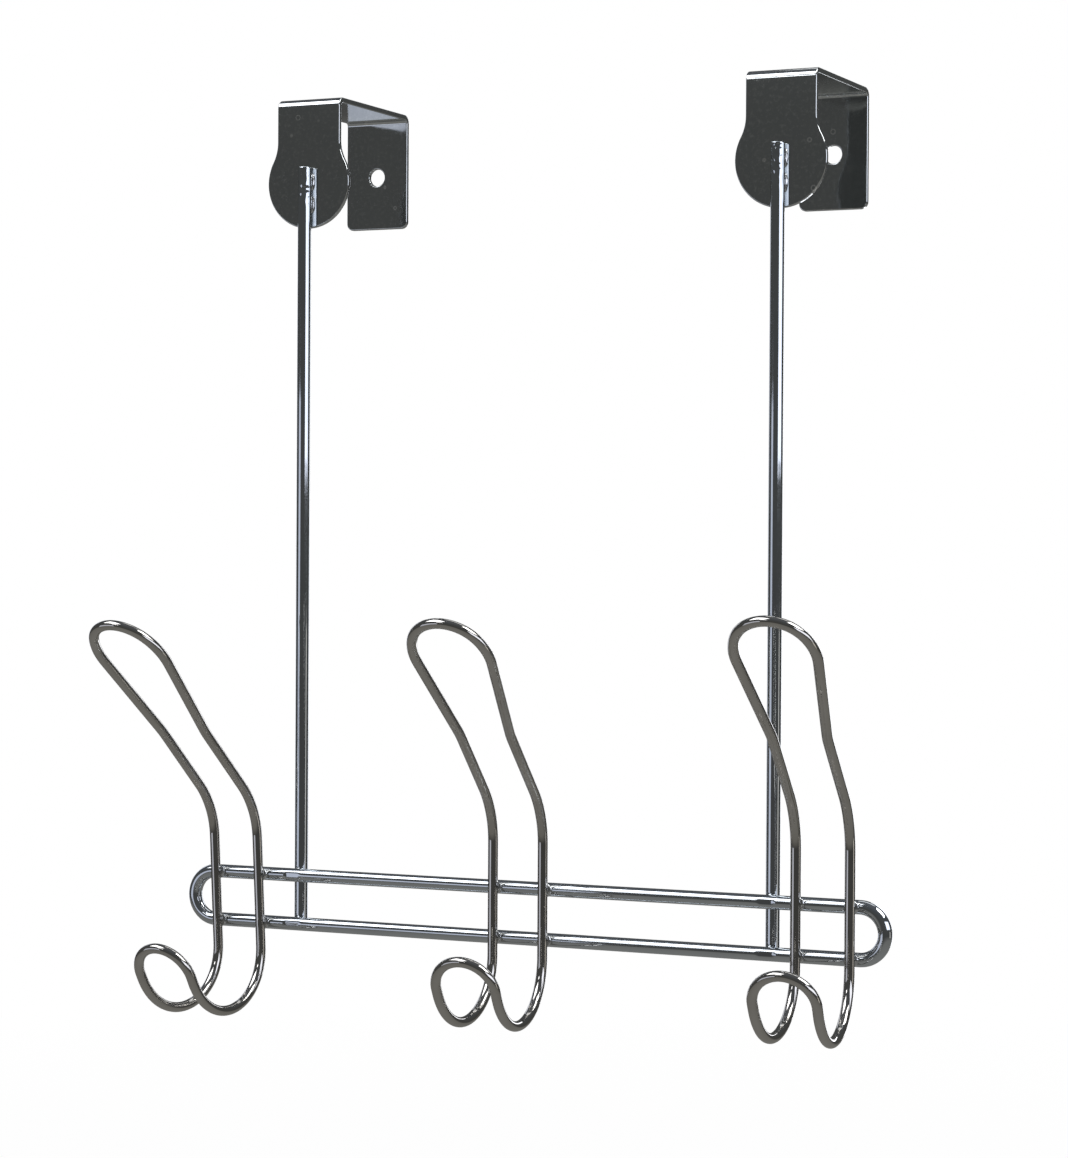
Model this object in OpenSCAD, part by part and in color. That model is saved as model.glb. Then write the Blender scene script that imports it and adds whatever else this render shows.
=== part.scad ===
// Over-the-door bag holder: two bent strip brackets, two upright rods, a closed
// wire rail and three double hooks, resistance welded at every crossing.
//
// Frame: +X along the rail, -Y towards the room (hooks), +Y behind the door, +Z up.
// The origin is midway between the two screw holes, on the door side of the back plates.

/* [Brackets] */

// Width of the bracket strip
strip_w = 20; // [14:0.5:32]
// Thickness of the bracket strip
strip_t = 1.5; // [1:0.1:3]
// Clear gap between front and back plates, for the door
door_gap = 40.5; // [24:0.5:60]
// Inside radius of the two bends
bend_r = 1; // [0.5:0.1:4]
// Distance between the two bracket centre lines
bracket_spacing = 143; // [80:1:260]
// Diameter of the round end of the front plate
disc_d = 26; // [20:0.5:44]
// Height from the round end's centre up to the top face
disc_drop = 24; // [18:0.5:45]
// Radius that blends the strip into the round end
neck_r = 12; // [4:0.5:30]
// Height of the back plate, top face to lower edge
back_h = 33.4; // [20:0.2:60]
// Corner radius at the back plate's lower edge
corner_r = 2; // [0.5:0.1:6]
// Diameter of the screw hole in the back plate
hole_d = 5; // [3:0.1:8]
// Height from the screw hole's centre up to the top face
hole_drop = 18; // [10:0.5:30]

/* [Rods and rail] */

// Diameter of the upright rods
upright_d = 3.8; // [2.5:0.1:8]
// Height from an upright's top end up to the bracket's top face
upright_drop = 19.8; // [8:0.2:30]
// Diameter of the rail wire
rail_d = 3.8; // [2.5:0.1:8]
// Overall length of the closed rail
rail_length = 212; // [150:1:400]
// Height between the rail's two wire centre lines
rail_gap = 13.8; // [10:0.2:40]
// Height from the rail's upper wire up to the bracket's top face
rail_drop = 221; // [100:0.2:400]

/* [Hooks] */

// Diameter of the hook wire
hook_d = 2.8; // [2:0.1:6]
// Distance between neighbouring hooks
hook_pitch = 88; // [50:1:150]
// Distance between the two legs of one hook, centre to centre
leg_gap = 15; // [10:0.2:30]
// Straight leg above the upper rail wire before the arm bends forward
leg_rise = 12.4; // [4:0.1:40]
// Radius of the arm's forward bend
arm_bend_r = 22; // [6:0.5:60]
// Angle of the arm's forward bend, from upright
arm_angle = 43.5; // [10:0.5:80]
// Straight parallel run of the arm after the bend
arm_straight = 20; // [5:0.1:60]
// Angle at which the two wires of the arm spread apart
arm_spread = 7; // [1:0.5:20]
// Radius of the wires' outward curve where they start to spread
spread_r = 27; // [5:0.5:80]
// Straight spreading run up to the loop
spread_run = 26; // [5:0.1:60]
// Radius of the loop's two shoulders
shoulder_r = 15; // [6:0.1:40]
// Angle turned by each shoulder before the loop's crown
shoulder_angle = 35; // [10:0.2:80]
// Straight leg below the lower rail wire before the J begins
leg_fall = 4.4; // [2:0.1:30]
// Radius of the J, at the wire's centre line
j_r = 16.4; // [8:0.2:40]
// Angle turned by the J
j_angle = 155; // [110:1:185]
// Outward splay of each J wire
j_splay = 2.2; // [0:0.1:10]
// Straight run from the end of the J to its rounded tip
tip_run = 1.5; // [0:0.1:12]

/* [Hand fitting of the outer hooks] */

// Turn of the left hook's arm and J towards the rail's left end
left_turn = 9; // [-12:0.5:12]
// Lean of the left hook towards the rail's left end
left_lean = 2.5; // [-5:0.5:5]
// How much lower than the middle hook the left hook is welded
left_drop = 2; // [-3:0.2:3]
// How much closer together the left hook's two legs are than the other hooks'
left_squeeze = 1; // [0:0.1:3]
// Turn of the right hook's arm and J towards the rail's right end
right_turn = 2.5; // [-12:0.5:12]
// How much higher than the middle hook the right hook is welded
right_rise = 2; // [-3:0.2:3]

/* [Welds] */

// Clearance between two crossing pieces, filled by weld metal
weld_gap = 0.05; // [0.02:0.01:0.2]
// Diameter of the weld nugget where two wires cross
nugget_d = 3.4; // [2:0.1:6]
// Depth of the nugget, measured across the two wires
nugget_h = 1.8; // [1:0.1:2.4]
// Height of each of the two weld runs between an upright and its front plate
seam_h = 5; // [2:0.5:6]
// Distance from the upright's top end to the first run, and between the two runs
seam_inset = 1.5; // [0.5:0.5:4]

/* [Hidden] */

$fn = 96;

// Heights: the origin is at the screw holes, so the top face is hole_drop above it.
top_z = hole_drop;
seat_z = top_z - strip_t;
disc_z = top_z - disc_drop;
back_z = top_z - back_h;
rail_z = top_z - rail_drop;
low_rail_z = rail_z - rail_gap;
rail_mid_z = (rail_z + low_rail_z) / 2;
upright_top_z = top_z - upright_drop;
upright_low_z = low_rail_z - rail_d / 2 + 0.3;

// Depths, from the door side of the back plate (y = 0) towards the room.
front_in_y = -door_gap;
front_y = -door_gap - strip_t;
upright_y = front_y - weld_gap - upright_d / 2;
rail_y = upright_y - upright_d / 2 - weld_gap - rail_d / 2;
hook_y = rail_y - rail_d / 2 - weld_gap - hook_d / 2;

bracket_x = bracket_spacing / 2;
bend_out = bend_r + strip_t;
rail_end_x = rail_length / 2 - rail_d / 2 - rail_gap / 2;
left_gap = leg_gap - left_squeeze;

CHROME_STRIP = [0.34, 0.35, 0.35];
CHROME_ROD = [0.62, 0.64, 0.66];
CHROME_HOOK = [0.45, 0.44, 0.42];
WELD_METAL = [0.78, 0.79, 0.8];

// ---------------------------------------------------------------- brackets

// Side outline of the bent strip: top run with a bend at each end.
module bend_profile() {
    depth = door_gap + 2 * strip_t;
    difference() {
        union() {
            translate([bend_out, -strip_t]) square([depth - 2 * bend_out, strip_t]);
            for (s = [0, 1])
                translate([s * (depth - 2 * bend_out) + bend_out, -bend_out])
                    intersection() {
                        circle(r = bend_out);
                        translate([(s - 1) * bend_out, 0]) square(bend_out);
                    }
        }
        for (s = [0, 1])
            translate([s * (depth - 2 * bend_out) + bend_out, -bend_out]) circle(r = bend_r);
    }
}

// Front outline of the keyhole plate, hanging from the bend down to the round end.
module keyhole_outline() {
    half = strip_w / 2;
    neck_z = sqrt(pow(disc_d / 2 + neck_r, 2) - pow(half + neck_r, 2));
    touch = disc_d / 2 / (disc_d / 2 + neck_r);
    union() {
        translate([-half, 0]) square([strip_w, disc_drop - bend_out]);
        circle(d = disc_d);
        difference() {
            polygon([[-(half + neck_r) * touch, neck_z * touch], [-half, neck_z],
                     [half, neck_z], [(half + neck_r) * touch, neck_z * touch]]);
            for (s = [-1, 1]) translate([s * (half + neck_r), neck_z]) circle(r = neck_r);
        }
    }
}

// Back plate outline with its two rounded lower corners.
module back_outline() {
    h = back_h - bend_out;
    union() {
        translate([-strip_w / 2, corner_r]) square([strip_w, h - corner_r]);
        translate([-strip_w / 2 + corner_r, 0]) square([strip_w - 2 * corner_r, corner_r]);
        for (s = [-1, 1]) translate([s * (strip_w / 2 - corner_r), corner_r]) circle(r = corner_r);
    }
}

// One bracket: front keyhole plate, bent top run and back plate with its screw hole.
module bracket(x) {
    color(CHROME_STRIP) translate([x, 0, 0]) difference() {
        union() {
            translate([strip_w / 2, front_y, top_z]) rotate([90, 0, -90]) mirror([1, 0, 0])
                linear_extrude(height = strip_w) bend_profile();
            translate([0, front_in_y, disc_z]) rotate([90, 0, 0])
                linear_extrude(height = strip_t) keyhole_outline();
            translate([0, strip_t, back_z]) rotate([90, 0, 0])
                linear_extrude(height = strip_t) back_outline();
        }
        translate([0, strip_t + 1, 0]) rotate([90, 0, 0]) cylinder(d = hole_d, h = strip_t + 2);
    }
}

// ---------------------------------------------------------------- rods and rail

// One straight upright rod, from its bracket down to the rail's lower wire.
module upright(x) {
    color(CHROME_ROD) translate([x, upright_y, upright_low_z])
        cylinder(d = upright_d, h = upright_top_z - upright_low_z);
}

// The closed rail: two straight wires joined by a half ring at each end.
module rail_loop() {
    color(CHROME_ROD) translate([0, rail_y, rail_mid_z]) {
        for (s = [-1, 1]) {
            translate([-rail_end_x, 0, s * rail_gap / 2]) rotate([0, 90, 0])
                cylinder(d = rail_d, h = 2 * rail_end_x);
            translate([s * rail_end_x, 0, 0]) rotate([90, 0, 0]) rotate([0, 0, -90 * s])
                rotate_extrude(angle = 180) translate([rail_gap / 2, 0]) circle(d = rail_d);
        }
    }
}

// ---------------------------------------------------------------- hooks

// Half width of the arm where the loop's shoulder begins and ends, and the crown
// radius that brings the wire level exactly at the hook's middle.
shoulder_x = leg_gap / 2 + spread_r * (1 - cos(arm_spread)) + spread_run * sin(arm_spread);
crown_from = arm_spread - shoulder_angle;
crown_x = shoulder_x + shoulder_r * (cos(crown_from) - cos(arm_spread));
crown_r = crown_x / cos(crown_from);

// The J splays outward a little, so its rounded tip is wider than the legs.
tip_lean = asin(sin(j_angle) * sin(j_splay));
tip_x = leg_gap / 2 + j_r * (1 - cos(j_angle)) * sin(j_splay) + tip_run * sin(tip_lean);
tip_r = tip_x / cos(tip_lean);

// Rings around the wire and steps along its curves.
wire_sides = 16;
step_deg = 10;
function steps(a) = max(2, ceil(abs(a) / step_deg));

// Points [x, u] of a curve that starts at p heading b degrees outward from straight
// ahead and turns to heading c at radius r; the start point is left out.
function turn(p, b, c, r) = let (n = steps(c - b), s = sign(c - b))
    [for (i = [1 : n]) let (h = b + (c - b) * i / n)
        [p[0] + s * r * (cos(b) - cos(h)), p[1] + s * r * (sin(h) - sin(b))]];
function ahead(p, b, l) = [p[0] + l * sin(b), p[1] + l * cos(b)];
function last(v) = v[len(v) - 1];

// Right half of the arm, flat, from the end of the forward bend to the crown's middle.
arm_a = [leg_gap / 2, arm_straight];
arm_b = turn(arm_a, 0, arm_spread, spread_r);
arm_c = ahead(last(arm_b), arm_spread, spread_run);
arm_d = turn(arm_c, arm_spread, crown_from, shoulder_r);
arm_e = turn(last(arm_d), crown_from, -90, crown_r);
arm_flat = concat([arm_a], arm_b, [arm_c], arm_d, arm_e);

// Right half of the J's tip, flat, from the end of the J to the tip's middle.
tip_a = ahead([tip_x - tip_run * sin(tip_lean), 0], tip_lean, tip_run);
tip_flat = concat([tip_a], turn(tip_a, tip_lean, -90, tip_r));

// A point of the wire, and the facing of the surface it is bent over, n = 1 towards
// the room. u runs from (y0, z0) along heading a, from +Z towards the room.
function bent(x, u, y0, z0, a, n) =
    [[x, y0 - u * sin(a), z0 + u * cos(a)], [0, -n * cos(a), -n * sin(a)]];

leg_low_z = low_rail_z - leg_fall;
leg_high_z = rail_z + leg_rise;
arm_y = -arm_bend_r * (1 - cos(arm_angle));
arm_z = leg_high_z + arm_bend_r * sin(arm_angle);
j_y = -j_r * (1 - cos(j_angle)) * cos(j_splay);
j_z = leg_low_z - j_r * sin(j_angle);
tip_head = atan2(sin(j_angle) * cos(j_splay), -cos(j_angle));

// Right half of the wire, from the tip's middle up to the crown's middle.
half_wire = concat(
    [for (i = [len(tip_flat) - 1 : -1 : 0])
        bent(tip_flat[i][0], tip_flat[i][1], j_y, j_z, tip_head, -1)],
    [for (i = [steps(j_angle) : -1 : 0])
        let (h = j_angle * i / steps(j_angle), f = j_r * (1 - cos(h)))
        [[leg_gap / 2 + f * sin(j_splay), -f * cos(j_splay), leg_low_z - j_r * sin(h)],
         [0, -cos(h), sin(h)]]],
    [for (i = [0 : steps(arm_angle)]) let (h = arm_angle * i / steps(arm_angle))
        [[leg_gap / 2, -arm_bend_r * (1 - cos(h)), leg_high_z + arm_bend_r * sin(h)],
         [0, -cos(h), -sin(h)]]],
    [for (p = arm_flat) bent(p[0], p[1], arm_y, arm_z, arm_angle, 1)]);

// The whole closed wire: the right half, then its mirror image back down.
whole_wire = concat(half_wire, [for (i = [len(half_wire) - 2 : -1 : 1])
    let (w = half_wire[i]) [[-w[0][0], w[0][1], w[0][2]], w[1]]]);

// Ring of points round the wire at point i, square to its run.
function ring(w, i, d) =
    let (m = len(w), p = w[i][0], a = w[(i + m - 1) % m][0], b = w[(i + 1) % m][0],
         g = (p - a) / norm(p - a) + (b - p) / norm(b - p), t = g / norm(g),
         e = cross(t, w[i][1]), e1 = e / norm(e), e2 = cross(e1, t))
    [for (k = [0 : wire_sides - 1]) let (q = 360 * k / wire_sides)
        p + d / 2 * (cos(q) * e1 + sin(q) * e2)];

// Round wire swept along a closed list of points.
module closed_wire(w, d) {
    m = len(w);
    n = wire_sides;
    polyhedron(
        points = [for (i = [0 : m - 1]) each ring(w, i, d)],
        faces = [for (i = [0 : m - 1], k = [0 : n - 1])
            let (a = i * n + k, b = i * n + (k + 1) % n,
                 c = ((i + 1) % m) * n + k, e = ((i + 1) % m) * n + (k + 1) % n)
            each [[a, b, e], [a, e, c]]]);
}

// Sideways shift of a leg at height z on a hook that leans and is raised.
function lean_x(z, lean, rise) = (z - rise - rail_mid_z) * tan(lean);

// The wire's points after the hook is squeezed to a leg gap of gap, turned and leaned
// towards +X, and raised.
function fitted(w, gap, turn, lean, rise) = [for (q = w)
    let (p = q[0], dx = lean_x(p[2] + rise, lean, rise) - p[1] * tan(turn))
    [[p[0] * gap / leg_gap + dx, p[1], p[2] + rise], q[1]]];

// One double hook: a single closed wire, its legs welded across both rail wires.
module hook(x, gap = leg_gap, turn = 0, lean = 0, rise = 0) {
    color(CHROME_HOOK) translate([x, hook_y, 0])
        closed_wire(fitted(whole_wire, gap, turn, lean, rise), hook_d);
}

// ---------------------------------------------------------------- welds

// Weld nugget centred on a crossing, before the two crossing wires are cut out of it.
module nugget(x, y, z) {
    translate([x, y + nugget_h / 2, z]) rotate([90, 0, 0]) cylinder(d = nugget_d, h = nugget_h);
}

// Two fillet runs that hold an upright on its front plate.
module weld_bracket(x) {
    wide = upright_d / 2 + 0.5;
    narrow = upright_d / 2;
    deep = upright_d / 4;
    color(WELD_METAL) for (run = [0, 1])
        translate([x, 0, upright_top_z - seam_inset - run * (seam_h + seam_inset) - seam_h])
            difference() {
                translate([0, front_y, 0]) linear_extrude(height = seam_h)
                    polygon([[-wide, 0], [wide, 0], [narrow, -deep], [-narrow, -deep]]);
                translate([0, upright_y, -1]) cylinder(d = upright_d, h = seam_h + 2);
            }
}

// Length of a straight cut that passes both rail wires with room to spare.
cut_h = rail_gap + 4 * nugget_d;

// Two nuggets that hold the rail on one upright.
module weld_upright(x) {
    color(WELD_METAL) difference() {
        for (z = [rail_z, low_rail_z])
            nugget(x, upright_y - upright_d / 2 - weld_gap / 2, z);
        translate([x, upright_y, rail_mid_z]) cylinder(d = upright_d, h = cut_h, center = true);
        rail_loop();
    }
}

// Four nuggets that hold one hook's legs on the rail.
module weld_hook(x, gap = leg_gap, lean = 0, rise = 0) {
    color(WELD_METAL) difference() {
        for (s = [-1, 1], z = [rail_z, low_rail_z])
            nugget(x + s * gap / 2 + lean_x(z, lean, rise),
                   rail_y - rail_d / 2 - weld_gap / 2, z);
        for (s = [-1, 1])
            translate([x + s * gap / 2 + lean_x(rail_mid_z, lean, rise), hook_y, rail_mid_z])
                rotate([0, lean, 0]) cylinder(d = hook_d, h = cut_h, center = true);
        rail_loop();
    }
}

bracket(-bracket_x);  // bracket_left
bracket(bracket_x);  // bracket_right
upright(-bracket_x);  // upright_left
upright(bracket_x);  // upright_right
rail_loop();
hook(-hook_pitch, left_gap, -left_turn, -left_lean, -left_drop);  // hook_left
hook(0);  // hook_middle
hook(hook_pitch, leg_gap, right_turn, 0, right_rise);  // hook_right
weld_bracket(-bracket_x);  // weld_bracket_left
weld_bracket(bracket_x);  // weld_bracket_right
weld_upright(-bracket_x);  // weld_upright_left
weld_upright(bracket_x);  // weld_upright_right
weld_hook(-hook_pitch, left_gap, -left_lean, -left_drop);  // weld_hook_left
weld_hook(0);  // weld_hook_middle
weld_hook(hook_pitch, leg_gap, 0, right_rise);  // weld_hook_right
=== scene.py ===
"""Over-the-door bag hook rail in polished chrome, dressed around its CAD frame.

Two bent strip brackets hang over a door's top edge. Each carries an upright rod, the rods
carry a closed wire rail, and three double hooks are welded across the rail.

Frame: metres, +X along the rail, -Y towards the room, +Z up, with the origin midway between
the two screw holes on the door side of the back plates.
"""

import logging
import math
from collections.abc import Callable
from dataclasses import dataclass, field
from enum import Enum

import bmesh
import bpy
from mathutils import Euler, Matrix, Vector, noise

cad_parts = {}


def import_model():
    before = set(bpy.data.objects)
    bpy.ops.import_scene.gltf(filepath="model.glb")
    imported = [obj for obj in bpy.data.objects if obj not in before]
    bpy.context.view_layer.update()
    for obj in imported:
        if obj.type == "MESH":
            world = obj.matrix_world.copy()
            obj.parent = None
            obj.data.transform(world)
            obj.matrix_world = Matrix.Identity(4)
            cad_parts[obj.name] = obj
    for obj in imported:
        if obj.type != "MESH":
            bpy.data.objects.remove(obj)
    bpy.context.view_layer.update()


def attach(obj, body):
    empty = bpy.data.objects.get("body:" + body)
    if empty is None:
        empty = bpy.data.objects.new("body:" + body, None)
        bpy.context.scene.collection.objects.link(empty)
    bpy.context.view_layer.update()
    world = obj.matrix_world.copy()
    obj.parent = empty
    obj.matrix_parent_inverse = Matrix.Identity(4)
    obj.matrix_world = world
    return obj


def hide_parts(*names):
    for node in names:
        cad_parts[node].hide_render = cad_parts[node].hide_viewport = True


LOG = logging.getLogger("bag_hook_rail")
MM = 0.001
BODY = "root"

# Attributes of every wire's points, which the drawing lines of its finish follow.
RING = "ring"
ALONG = "along"

# Points of a mesh nearer than this are one point, and so are a path's nearer than the
# second length, both in millimetres.
SAME_POINT_MM = 0.002
SAME_STEP_MM = 1e-6

WHITE = (1.0, 1.0, 1.0, 1.0)


class Side(Enum):
    """Which copy of a repeated piece is meant, from the rail's left end to its right."""

    LEFT = "left"
    MIDDLE = "middle"
    RIGHT = "right"

    @property
    def sign(self) -> int:
        """-1 on the left, 0 in the middle, 1 on the right."""
        return {Side.LEFT: -1, Side.MIDDLE: 0, Side.RIGHT: 1}[self]


OUTER = (Side.LEFT, Side.RIGHT)


# ------------------------------------------------------------------ sizes


@dataclass(frozen=True)
class Sizes:
    """Driving sizes of the hanger in millimetres, and the places that follow from them."""

    strip_w: float = 20.0
    strip_t: float = 1.5
    door_gap: float = 40.5
    bend_r: float = 1.0
    bracket_spacing: float = 143.0
    disc_d: float = 26.0
    disc_drop: float = 24.0
    neck_r: float = 12.0
    back_h: float = 33.4
    corner_r: float = 2.0
    hole_d: float = 5.0
    hole_drop: float = 18.0
    upright_d: float = 3.8
    upright_drop: float = 19.8
    rail_d: float = 3.8
    rail_length: float = 212.0
    rail_gap: float = 13.8
    rail_drop: float = 221.0
    hook_d: float = 2.8
    hook_pitch: float = 88.0
    leg_gap: float = 15.0
    weld_gap: float = 0.05
    upright_tail: float = 0.3

    @property
    def top_z(self) -> float:
        """Height of the brackets' top face."""
        return self.hole_drop

    @property
    def front_y(self) -> float:
        """Depth of the front plates' face on the room side."""
        return -self.door_gap - self.strip_t

    @property
    def upright_y(self) -> float:
        """Depth of the upright rods' centre lines."""
        return self.front_y - self.weld_gap - self.upright_d / 2

    @property
    def rail_y(self) -> float:
        """Depth of the rail's centre line."""
        return self.upright_y - self.upright_d / 2 - self.weld_gap - self.rail_d / 2

    @property
    def hook_y(self) -> float:
        """Depth of the hook legs' centre lines."""
        return self.rail_y - self.rail_d / 2 - self.weld_gap - self.hook_d / 2

    @property
    def rail_z(self) -> float:
        """Height of the rail's upper wire."""
        return self.top_z - self.rail_drop

    @property
    def low_rail_z(self) -> float:
        """Height of the rail's lower wire."""
        return self.rail_z - self.rail_gap

    @property
    def rail_mid_z(self) -> float:
        """Height midway between the rail's two wires."""
        return (self.rail_z + self.low_rail_z) / 2

    @property
    def upright_top_z(self) -> float:
        """Height of the upright rods' cut upper ends."""
        return self.top_z - self.upright_drop

    @property
    def upright_low_z(self) -> float:
        """Height of the upright rods' lower ends, hidden behind the rail's lower wire."""
        return self.low_rail_z - self.rail_d / 2 + self.upright_tail


SIZES = Sizes()


# ------------------------------------------------------------------ node helpers


def linear(hex_code: str) -> tuple[float, float, float, float]:
    """Turns an sRGB hex colour into the linear colour that a shader takes.

    Args:
        hex_code: Six hexadecimal digits, such as "C8CACC".

    Returns:
        Red, green, blue and alpha, with alpha 1.
    """
    channels = [int(hex_code[i : i + 2], 16) / 255 for i in (0, 2, 4)]
    values = [c / 12.92 if c <= 0.04045 else ((c + 0.055) / 1.055) ** 2.4 for c in channels]
    return values[0], values[1], values[2], 1.0


def add_node(tree: bpy.types.NodeTree, kind: str, settings: dict | None = None,
             inputs: dict | None = None) -> bpy.types.Node:
    """Adds one node with its settings, input values and links.

    Args:
        tree: The tree that the node joins.
        kind: The node's type name.
        settings: Property names and values.
        inputs: Input names or numbers, each with a value or with the socket that feeds it.

    Returns:
        The new node.
    """
    node = tree.nodes.new(kind)
    for name, value in (settings or {}).items():
        setattr(node, name, value)
    for name, value in (inputs or {}).items():
        if isinstance(value, bpy.types.NodeSocket):
            tree.links.new(value, node.inputs[name])
        else:
            node.inputs[name].default_value = value
    return node


def noise_field(tree: bpy.types.NodeTree, place: bpy.types.NodeSocket, grain_mm: float,
                detail: float, roughness: float = 0.5) -> bpy.types.NodeSocket:
    """Adds a noise pattern.

    Args:
        tree: The tree that the pattern joins.
        place: Coordinates in metres.
        grain_mm: Size of the pattern's grains, in millimetres.
        detail: How many finer patterns lie on top.
        roughness: How strong those are.

    Returns:
        The pattern, about 0 to 1.
    """
    return add_node(tree, "ShaderNodeTexNoise", inputs={
        "Vector": place, "Scale": 1 / (grain_mm * MM), "Detail": detail,
        "Roughness": roughness}).outputs["Fac"]


def remap(tree: bpy.types.NodeTree, value: bpy.types.NodeSocket, span: tuple[float, float],
          result: tuple[float, float]) -> bpy.types.NodeSocket:
    """Stretches one span of a value to another and holds it at both ends.

    Args:
        tree: The tree that the step joins.
        value: The value.
        span: Where the value starts and stops to count.
        result: What comes out at those two ends.

    Returns:
        The stretched value.
    """
    return add_node(tree, "ShaderNodeMapRange", inputs={
        "Value": value, "From Min": span[0], "From Max": span[1],
        "To Min": result[0], "To Max": result[1]}).outputs["Result"]


def raised(tree: bpy.types.NodeTree, height: bpy.types.NodeSocket, depth_mm: float,
           base: bpy.types.NodeSocket | None = None) -> bpy.types.NodeSocket:
    """Adds one layer of relief.

    Args:
        tree: The tree that the layer joins.
        height: The layer's pattern, 0 to 1.
        depth_mm: Its depth in millimetres.
        base: The normal of the layer below, or None for the first one.

    Returns:
        The normal.
    """
    inputs = {"Strength": 1.0, "Distance": depth_mm * MM, "Height": height}
    if base is not None:
        inputs["Normal"] = base
    return add_node(tree, "ShaderNodeBump", inputs=inputs).outputs["Normal"]


# ------------------------------------------------------------------ finishes


@dataclass(frozen=True)
class ChromeFinish:
    """Decorative chrome over nickel on steel: a mirror with a faint cool cast.

    The plating shows what lies under it: slight waviness from polishing, fine lines from the
    drawing die on wire, dull patches where hands touch it, and small dried water spots.
    Lengths are in millimetres. A pattern whose size is 0 is left out.
    """

    name: str
    tint: str
    shade: str
    roughness: float
    haze: float
    wave_mm: float
    wave_depth_mm: float
    patch_mm: float = 11.0
    patch_span: tuple[float, float] = (0.42, 0.72)
    line_mm: float = 0.0
    line_depth_mm: float = 0.0
    line_run_mm: float = 40.0
    wire_d_mm: float = 0.0
    spot_mm: float = 0.0
    spot_haze: float = 0.1
    spot_radius: float = 0.1
    spot_rim: float = 0.035
    spot_strength: float = 0.9
    mottle_mm: float = 1.1
    mottle_span: tuple[float, float] = (0.5, 0.75)
    mottle_strength: float = 0.4
    film: str = "F6F6F4"
    pit_mm: float = 0.0
    pit_depth_mm: float = 0.0

    def build(self) -> bpy.types.Material:
        """Builds the material's nodes.

        Returns:
            The finished material.
        """
        material = bpy.data.materials.new(self.name)
        material.use_nodes = True
        tree = material.node_tree
        tree.nodes.clear()
        place = add_node(tree, "ShaderNodeTexCoord").outputs["Object"]
        patches = noise_field(tree, place, self.patch_mm, 4.0, 0.6)
        colour = add_node(tree, "ShaderNodeMix", {"data_type": "RGBA"}, {
            "Factor": patches, 6: linear(self.tint), 7: linear(self.shade)}).outputs[2]
        rough = remap(tree, patches, self.patch_span, (self.roughness, self.roughness + self.haze))
        if self.spot_mm:
            marks = self._marks(tree, place)
            colour = add_node(tree, "ShaderNodeMix", {"data_type": "RGBA"}, {
                "Factor": marks, 6: colour, 7: linear(self.film)}).outputs[2]
            rough = add_node(tree, "ShaderNodeMath", {"operation": "MULTIPLY_ADD"}, {
                0: marks, 1: self.spot_haze, 2: rough}).outputs[0]
        shader = add_node(tree, "ShaderNodeBsdfPrincipled", inputs={
            "Base Color": colour, "Metallic": 1.0, "Roughness": rough,
            "Normal": self._relief(tree, place)})
        add_node(tree, "ShaderNodeOutputMaterial", inputs={"Surface": shader.outputs["BSDF"]})
        return material

    def _marks(self, tree: bpy.types.NodeTree,
               place: bpy.types.NodeSocket) -> bpy.types.NodeSocket:
        """Gives the film on a flat face, 0 to 1: rings of dried water and fine mottling.

        Args:
            tree: The material's tree.
            place: Object coordinates.

        Returns:
            The film's strength.
        """
        cells = add_node(tree, "ShaderNodeTexVoronoi", {"feature": "F1"}, {
            "Vector": place, "Scale": 1 / (self.spot_mm * MM), "Randomness": 1.0})
        off = add_node(tree, "ShaderNodeMath", {"operation": "SUBTRACT"}, {
            0: cells.outputs["Distance"], 1: self.spot_radius})
        width = add_node(tree, "ShaderNodeMath", {"operation": "ABSOLUTE"}, {0: off.outputs[0]})
        ring = remap(tree, width.outputs[0], (0.0, self.spot_rim), (self.spot_strength, 0.0))
        grain = noise_field(tree, place, self.mottle_mm, 3.0, 0.7)
        mottle = remap(tree, grain, self.mottle_span, (0.0, self.mottle_strength))
        return add_node(tree, "ShaderNodeMath", {"operation": "MAXIMUM"}, {
            0: ring, 1: mottle}).outputs[0]

    def _relief(self, tree: bpy.types.NodeTree,
                place: bpy.types.NodeSocket) -> bpy.types.NodeSocket:
        """Gives the bumped normal: waviness, then drawing lines or weld pits where there are any.

        Args:
            tree: The material's tree.
            place: Object coordinates.

        Returns:
            The normal.
        """
        normal = raised(tree, noise_field(tree, place, self.wave_mm, 1.0), self.wave_depth_mm)
        if self.line_mm:
            normal = raised(tree, self._drawing_lines(tree), self.line_depth_mm, normal)
        if self.pit_mm:
            pits = noise_field(tree, place, self.pit_mm, 3.0)
            normal = raised(tree, pits, self.pit_depth_mm, normal)
        return normal

    def _drawing_lines(self, tree: bpy.types.NodeTree) -> bpy.types.NodeSocket:
        """Gives the height of the lines that the drawing die leaves along a wire.

        The pattern is long along the wire and fine around it, so it follows every bend.

        Args:
            tree: The material's tree.

        Returns:
            The height.
        """
        ring = add_node(tree, "ShaderNodeAttribute", {"attribute_name": RING})
        along = add_node(tree, "ShaderNodeAttribute", {"attribute_name": ALONG})
        reach = add_node(tree, "ShaderNodeVectorMath", {"operation": "SCALE"}, {
            0: ring.outputs["Vector"], "Scale": self.wire_d_mm / 2 / self.line_mm})
        flat = add_node(tree, "ShaderNodeSeparateXYZ", inputs={0: reach.outputs[0]})
        run = add_node(tree, "ShaderNodeMath", {"operation": "DIVIDE"}, {
            0: along.outputs["Fac"], 1: self.line_run_mm * MM})
        point = add_node(tree, "ShaderNodeCombineXYZ", inputs={
            "X": flat.outputs["X"], "Y": flat.outputs["Y"], "Z": run.outputs[0]})
        lines = add_node(tree, "ShaderNodeTexNoise", inputs={
            "Vector": point.outputs[0], "Scale": 1.0, "Detail": 1.0})
        return lines.outputs["Fac"]


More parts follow.
